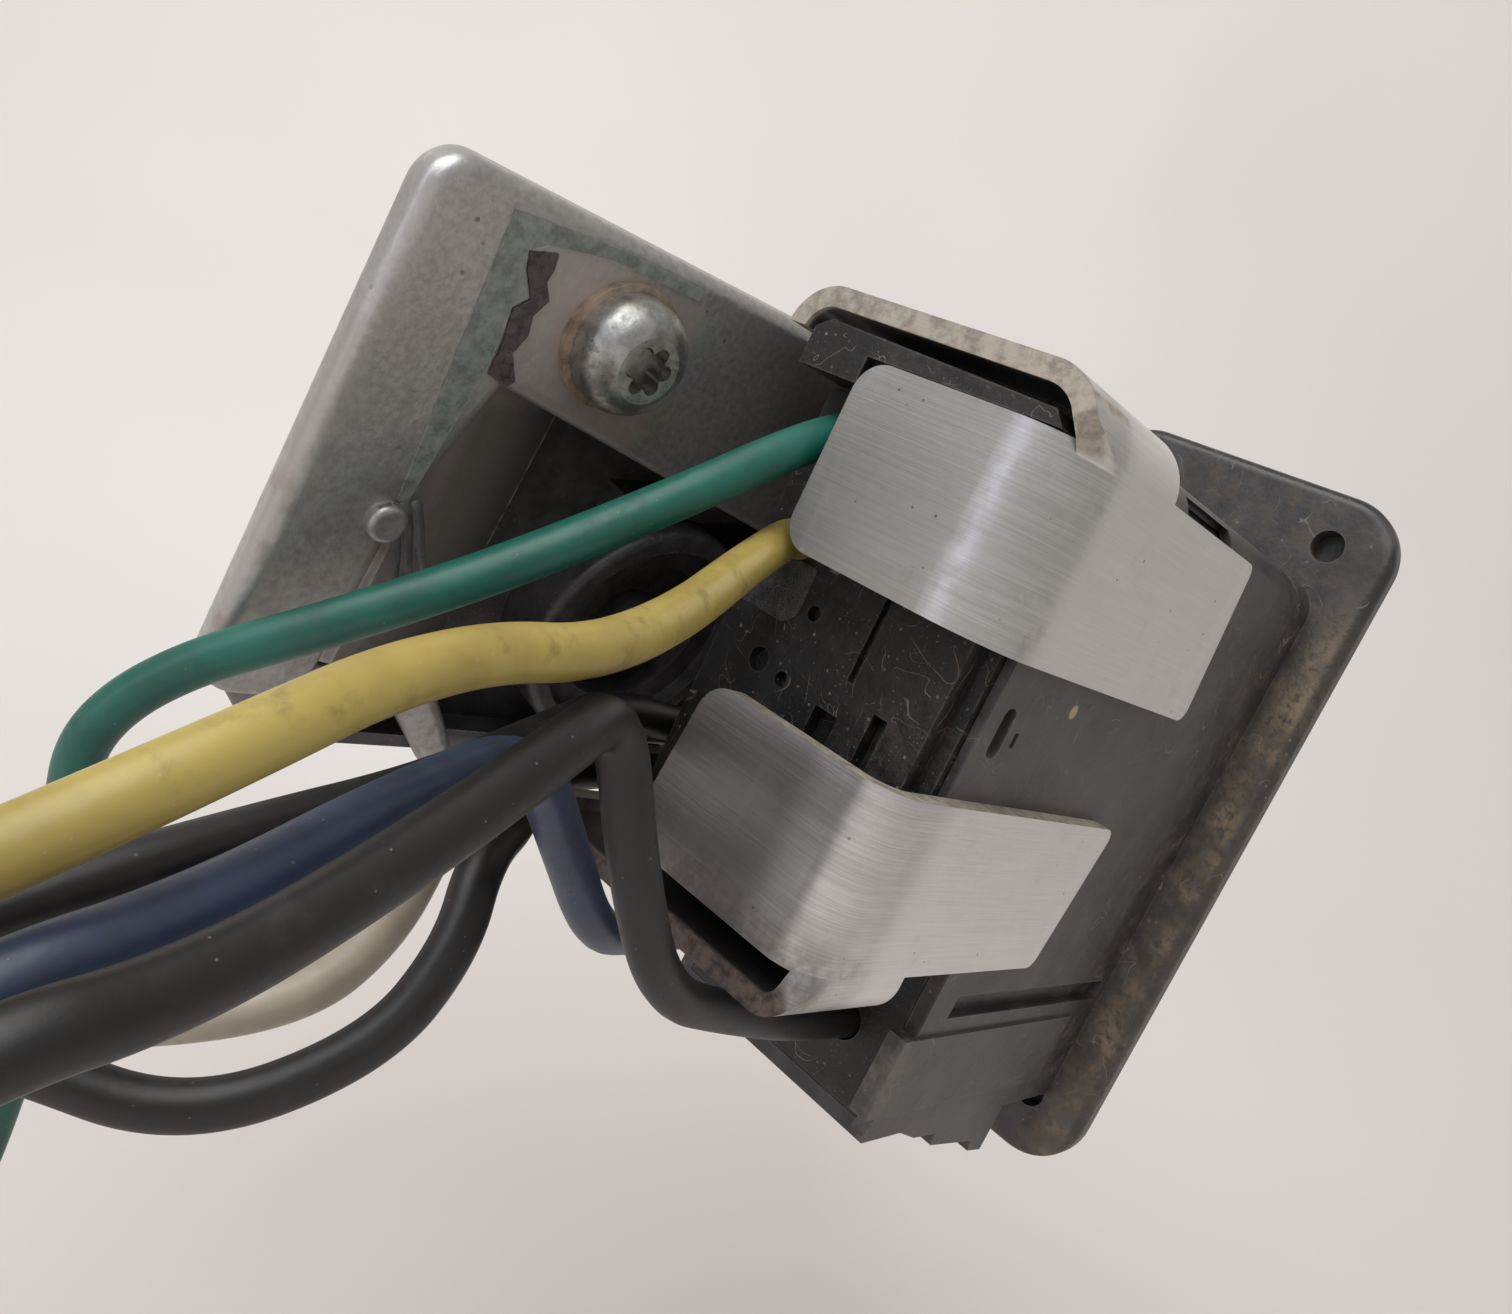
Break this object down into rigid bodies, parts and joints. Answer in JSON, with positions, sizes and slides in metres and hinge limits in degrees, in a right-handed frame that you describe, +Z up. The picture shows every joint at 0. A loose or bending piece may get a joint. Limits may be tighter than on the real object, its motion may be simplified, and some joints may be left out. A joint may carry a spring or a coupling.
{
  "type": "panel power inlet box",
  "caption": "Clip-held black power inlet with sprung lid, reset breaker, metal side plate with earth screw, and loose rear leads.",
  "frame": {"origin": "centre of the bezel's four screw holes on the face that seats on the panel", "axes": "+Y out of the panel's front, +Z up, +X to the right seen from behind"},
  "size_m": [0.0442, 0.1131, 0.1011],
  "materials": {
    "black_moulding": "dusty matt black",
    "clip_sheet": "brushed mill finish",
    "plate_sheet": "dull grey coat",
    "plated_steel": "zinc plated",
    "copper": "tarnished copper",
    "contact_metal": "nickel plated",
    "spring_wire": "bright wire",
    "green_sleeve": "satin",
    "yellow_sleeve": "satin",
    "blue_sleeve": "satin",
    "black_sleeve": "satin",
    "white_sleeve": "satin",
    "liner": "thin film",
    "adhesive": "matt",
    "clear_film": "thin film",
    "seal": "matt",
    "button_cap": "satin red",
    "bimetal": "strip"
  },
  "bodies": {
    "root": {"bezel_frame": "black_moulding", "module_body": "black_moulding", "module_back_cover": "black_moulding", "line_pins": "contact_metal", "earth_pin": "contact_metal", "breaker_cover": "black_moulding", "reset_spring": "spring_wire", "spring_seat": "black_moulding", "breaker_bimetal": "bimetal", "breaker_terminals": "contact_metal", "upper_clip": "clip_sheet", "lower_clip": "clip_sheet", "side_plate": "plate_sheet", "plate_screws": "plated_steel", "window_block": "black_moulding", "window_plug": "black_moulding", "block_rivets": "plated_steel", "earth_washer": "copper", "earth_screw": "plated_steel", "earth_nut": "plated_steel", "label_liner": "liner", "adhesive_strip": "adhesive", "locating_rivet": "plated_steel", "insulation_film": "clear_film", "lid_pin": "plated_steel", "lid_spring": "spring_wire", "side_terminal_strip": "black_moulding", "side_terminal_screws": "plated_steel", "lead_green": "green_sleeve", "lead_yellow": "yellow_sleeve", "lead_black_breaker": "black_sleeve", "lead_black_loop": "black_sleeve", "lead_white": "white_sleeve", "lead_blue": "blue_sleeve", "lead_black_top": "black_sleeve", "lead_ends": "copper"},
    "button": {"reset_button": "button_cap"},
    "lid": {"inlet_lid": "black_moulding", "lid_gasket": "seal"}
  },
  "joints": [
    {"name": "reset_travel", "type": "slide", "parent": "root", "child": "button", "axis": [0, -1, 0], "range_m": [0, 0.0015], "stiffness_N_per_m": 600, "springref_m": -0.001, "deforming": ["reset_spring"]},
    {"name": "lid_hinge", "type": "hinge", "parent": "root", "child": "lid", "pos_m": [0, 0.0059, 0.026], "axis": [1, 0, 0], "range_deg": [0, 110], "stiffness_Nm_per_rad": 0.01, "springref_deg": -20.05}
  ]
}
